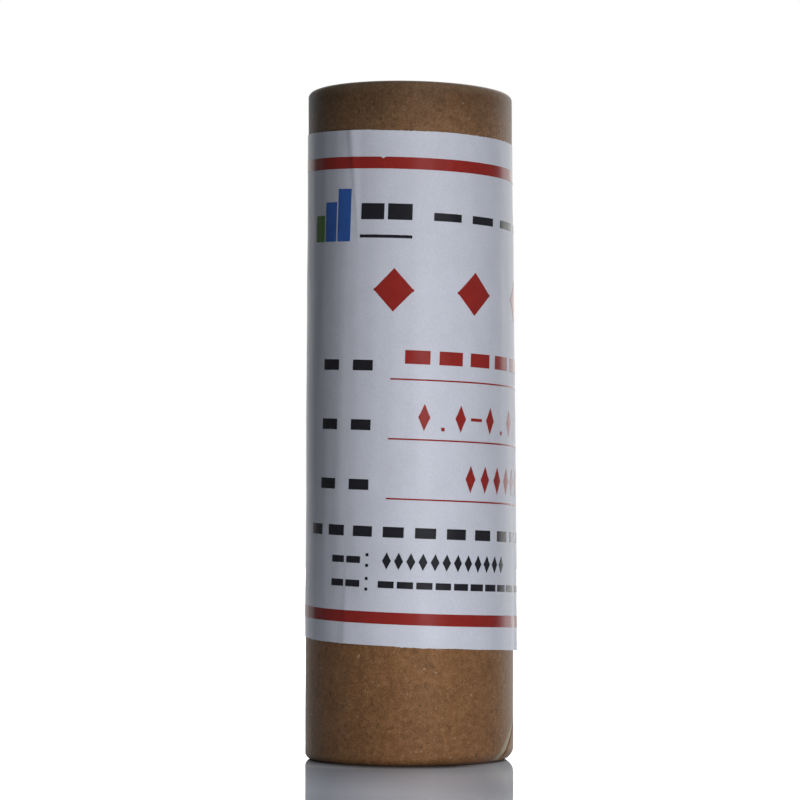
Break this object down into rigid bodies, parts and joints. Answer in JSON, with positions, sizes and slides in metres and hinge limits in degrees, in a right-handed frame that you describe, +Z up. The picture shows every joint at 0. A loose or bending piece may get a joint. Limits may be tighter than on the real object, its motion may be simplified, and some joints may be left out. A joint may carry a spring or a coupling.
{
  "type": "cardboard tube pack",
  "caption": "Sealed round kraft cardboard tube standing upright, with rolled rims, recessed end discs and a printed paper label wrapped round it askew.",
  "frame": {"origin": "middle of the foot, on the surface that the tube stands on", "axes": "+Z up the tube's axis; the front, 36 degrees to the left of the label's middle, faces -Y; +X is to the right seen from the front"},
  "size_m": [0.0349, 0.0342, 0.1095],
  "materials": {
    "kraft_board": "matt brown fibrous kraft paper, spiral wound",
    "label_paper": "smooth semi-gloss pale grey label paper",
    "red_ink": "dark red ink with the paper's sheen",
    "black_ink": "black ink with the paper's sheen",
    "blue_ink": "blue ink with the paper's sheen",
    "green_ink": "green ink with the paper's sheen"
  },
  "bodies": {
    "root": {"paper_tube": "kraft_board", "label": "label_paper", "red_print": "red_ink", "black_print": "black_ink", "blue_print": "blue_ink", "green_print": "green_ink"}
  },
  "joints": []
}
